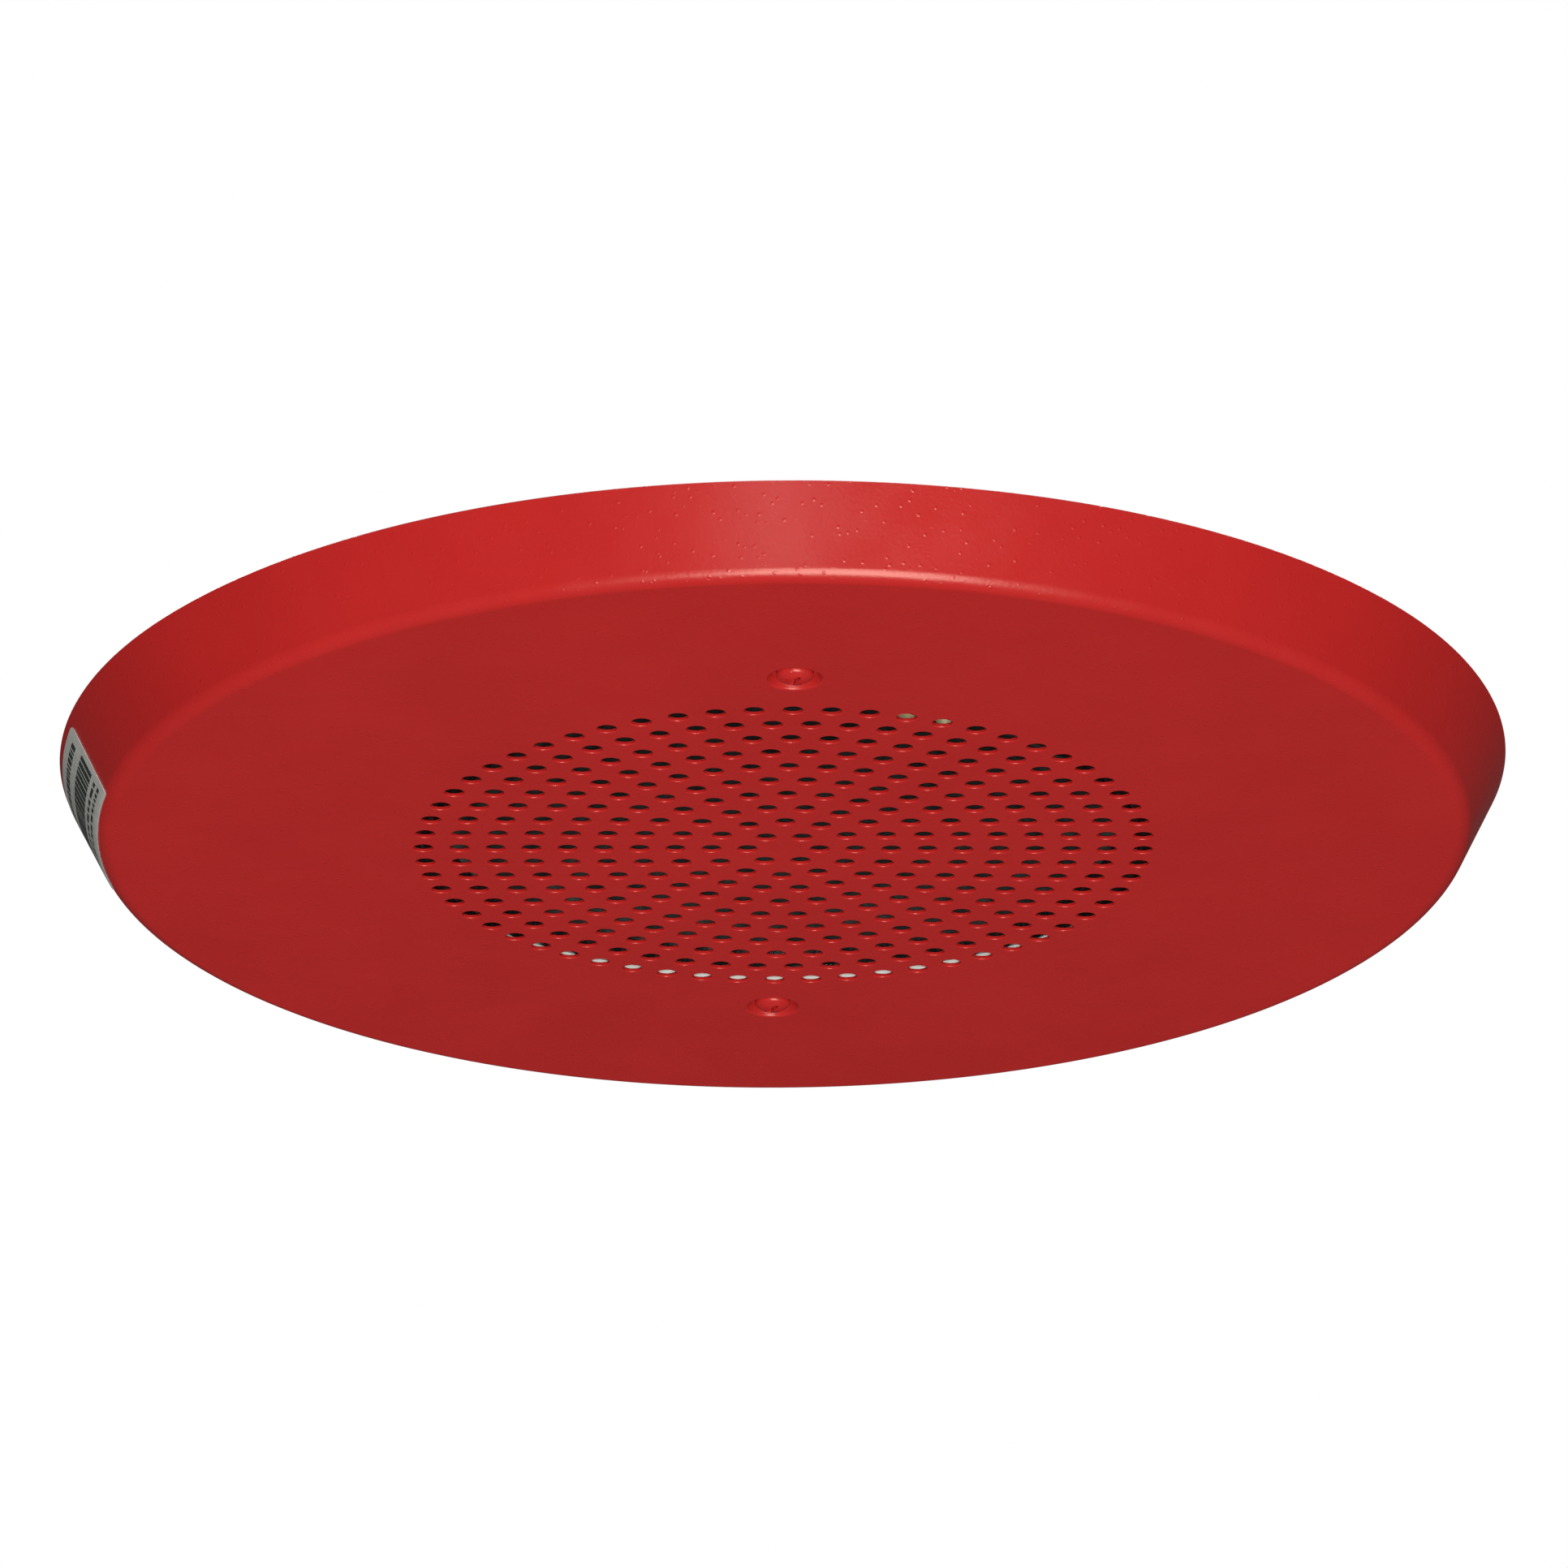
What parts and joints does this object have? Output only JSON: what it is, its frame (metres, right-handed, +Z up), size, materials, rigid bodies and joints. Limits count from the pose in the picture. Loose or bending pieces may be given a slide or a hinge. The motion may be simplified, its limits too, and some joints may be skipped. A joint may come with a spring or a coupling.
{
  "type": "ceiling loudspeaker",
  "caption": "Round red steel ceiling loudspeaker baffle with a perforated face and flared wall, carrying a paper-cone driver, line transformer and tap selector behind it.",
  "frame": {"origin": "centre of the baffle's rim, in the plane where the rim meets the ceiling", "axes": "+Z up into the ceiling, along the driver axis; the perforated face looks along -Z; the two mounting screws lie on the Y axis, the label on the -X side and the line transformer on the +Y side"},
  "size_m": [0.32, 0.32, 0.0861],
  "materials": {
    "red_powder_coat": "semi-gloss red powder coat with fine orange peel",
    "zinc_hardware": "zinc plate",
    "label_film": "satin printed film label",
    "red_screw_paint": "red paint over steel screws",
    "chipboard": "pale pressed chipboard",
    "basket_paint": "grey-black paint on stamped steel",
    "treated_cloth": "doped cloth, glossy",
    "cone_paper": "black pressed paper",
    "cap_felt": "black pressed felt paper",
    "kraft_former": "kraft paper",
    "enamelled_wire": "enamelled copper wire",
    "spider_cloth": "phenolic-treated cotton",
    "dried_glue": "dried amber adhesive",
    "plated_iron": "zinc plate on soft iron",
    "ferrite": "sintered ferrite",
    "phenolic_board": "brown laminated phenolic",
    "tinned_brass": "tinned brass",
    "tinsel_braid": "braided tinsel wire",
    "galvanised_steel": "galvanised sheet",
    "lamination_steel": "varnished silicon-steel laminations",
    "nylon_bobbin": "natural nylon",
    "winding_tape": "yellow polyester tape",
    "grommet_rubber": "black rubber",
    "wire_insulation": "coloured PVC insulation",
    "board_laminate": "green solder mask",
    "turned_brass": "turned brass",
    "block_plastic": "green moulded plastic",
    "switch_plastic": "blue moulded plastic",
    "knob_plastic": "white moulded plastic",
    "black_plastic": "black moulded plastic",
    "capacitor_sleeve": "blue shrink sleeve",
    "tinned_wire": "tinned copper wire"
  },
  "bodies": {
    "housing": {"baffle": "red_powder_coat", "weld_studs": "zinc_hardware", "rating_label": "label_film", "mounting_screws": "red_screw_paint", "front_gasket": "chipboard", "basket": "basket_paint", "stud_washers": "zinc_hardware", "stud_nuts": "zinc_hardware", "surround": "treated_cloth", "spider": "spider_cloth", "top_plate": "plated_iron", "basket_rivets": "zinc_hardware", "magnet": "ferrite", "yoke": "plated_iron", "terminal_strip": "phenolic_board", "terminal_lugs": "tinned_brass", "strip_rivet": "zinc_hardware", "tinsel_leads": "tinsel_braid", "rear_bracket": "galvanised_steel", "bracket_screws": "zinc_hardware", "transformer_core": "lamination_steel", "transformer_bobbin": "nylon_bobbin", "transformer_winding": "winding_tape", "transformer_clamp": "galvanised_steel", "transformer_screws": "zinc_hardware", "transformer_nuts": "zinc_hardware", "bracket_grommet": "grommet_rubber", "tap_wires": "wire_insulation", "circuit_board": "board_laminate", "board_standoffs": "turned_brass", "board_screws": "zinc_hardware", "terminal_block": "block_plastic", "terminal_screws": "zinc_hardware", "wire_clamps": "zinc_hardware", "tap_switch_body": "switch_plastic", "voltage_switch_body": "black_plastic", "blocking_capacitor": "capacitor_sleeve", "capacitor_leads": "tinned_wire", "speaker_wires": "wire_insulation"},
    "cone_assembly": {"cone": "cone_paper", "dust_cap": "cap_felt", "voice_coil_former": "kraft_former", "voice_coil_winding": "enamelled_wire", "lead_glue_dabs": "dried_glue"},
    "tap_selector": {"tap_selector_knob": "knob_plastic"},
    "voltage_selector": {"voltage_switch_slider": "knob_plastic"}
  },
  "joints": [
    {"name": "cone_travel", "type": "slide", "parent": "housing", "child": "cone_assembly", "axis": [0, 0, 1], "range_m": [-0.0015, 0.0015], "stiffness_N_per_m": 2000, "deforming": ["surround", "spider", "tinsel_leads"]},
    {"name": "tap_select", "type": "hinge", "parent": "housing", "child": "tap_selector", "pos_m": [-0.011, 0.018, 0.06], "axis": [0, 0, 1], "range_deg": [0, 90]},
    {"name": "voltage_select", "type": "slide", "parent": "housing", "child": "voltage_selector", "axis": [0, 1, 0], "range_m": [0, 0.0036]}
  ]
}
